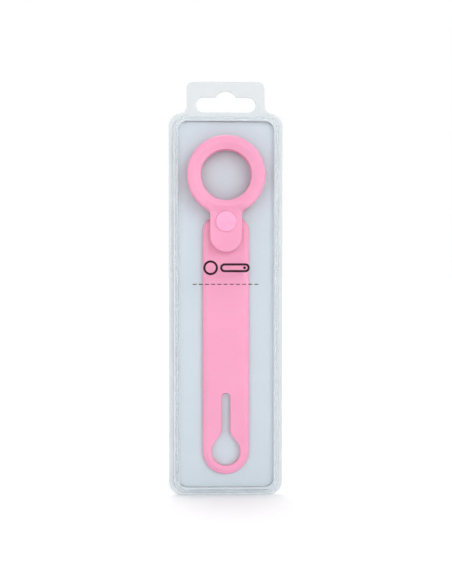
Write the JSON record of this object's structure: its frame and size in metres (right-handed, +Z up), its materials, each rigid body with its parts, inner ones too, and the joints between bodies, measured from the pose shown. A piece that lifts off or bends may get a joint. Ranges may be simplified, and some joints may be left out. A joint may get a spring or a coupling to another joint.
{
  "type": "tracker tag strap holder in hanging case",
  "caption": "Soft strap with a round window holder, snap flap and keyhole end for a disc-shaped tracker tag, in a clear lift-off case with a hanging tab.",
  "frame": {"origin": "where a peg carries the case: at the top of the hanging slot's hump, in the middle of the tab's thickness", "axes": "+Z up along the case towards the hanging tab, -Y out of the clear lid's front, +X to the right as seen from the front"},
  "size_m": [0.06, 0.014, 0.2185],
  "materials": {
    "silicone": "soft matte moulded silicone, light pink",
    "snap_plastic": "satin moulded acetal, light pink",
    "clear_plastic": "clear polished styrene",
    "frosted_plastic": "translucent frosted polypropylene",
    "card": "pale blue-grey coated card"
  },
  "bodies": {
    "case_base": {"base_tray": "frosted_plastic", "backing_card": "card"},
    "case_lid": {"clear_lid": "clear_plastic"},
    "holder": {"ring_back": "silicone", "ring_front": "silicone", "snap_stud": "snap_plastic", "snap_back_cap": "snap_plastic"},
    "flap": {"snap_flap": "silicone", "snap_cap": "snap_plastic", "snap_socket": "snap_plastic"},
    "strap_upper": {"strap_middle": "silicone"},
    "strap_tail": {"strap_end": "silicone"}
  },
  "joints": [
    {"name": "lid_lift", "type": "slide", "parent": "case_base", "child": "case_lid", "axis": [0, -1, 0], "range_m": [0, 0.12]},
    {"name": "loop_lift", "type": "slide", "parent": "case_base", "child": "holder", "axis": [0, -1, 0], "range_m": [0, 0.048]},
    {"name": "flap_open", "type": "hinge", "parent": "holder", "child": "flap", "pos_m": [0, -0.00955, -0.0599], "axis": [-1, 0, 0], "range_deg": [0, 60]},
    {"name": "strap_bend_high", "type": "hinge", "parent": "holder", "child": "strap_upper", "pos_m": [0, -0.0025, -0.11403], "axis": [-1, 0, 0], "range_deg": [0, 30]},
    {"name": "strap_bend_low", "type": "hinge", "parent": "strap_upper", "child": "strap_tail", "pos_m": [0, -0.0025, -0.14365], "axis": [-1, 0, 0], "range_deg": [0, 30]}
  ],
  "couplings": [
    {"joint": "loop_lift", "follows": "lid_lift", "ratio": 0.4},
    {"joint": "flap_open", "follows": "lid_lift", "rad_per_m": 8.72},
    {"joint": "strap_bend_high", "follows": "lid_lift", "rad_per_m": 4.36},
    {"joint": "strap_bend_low", "follows": "lid_lift", "rad_per_m": 4.36}
  ]
}
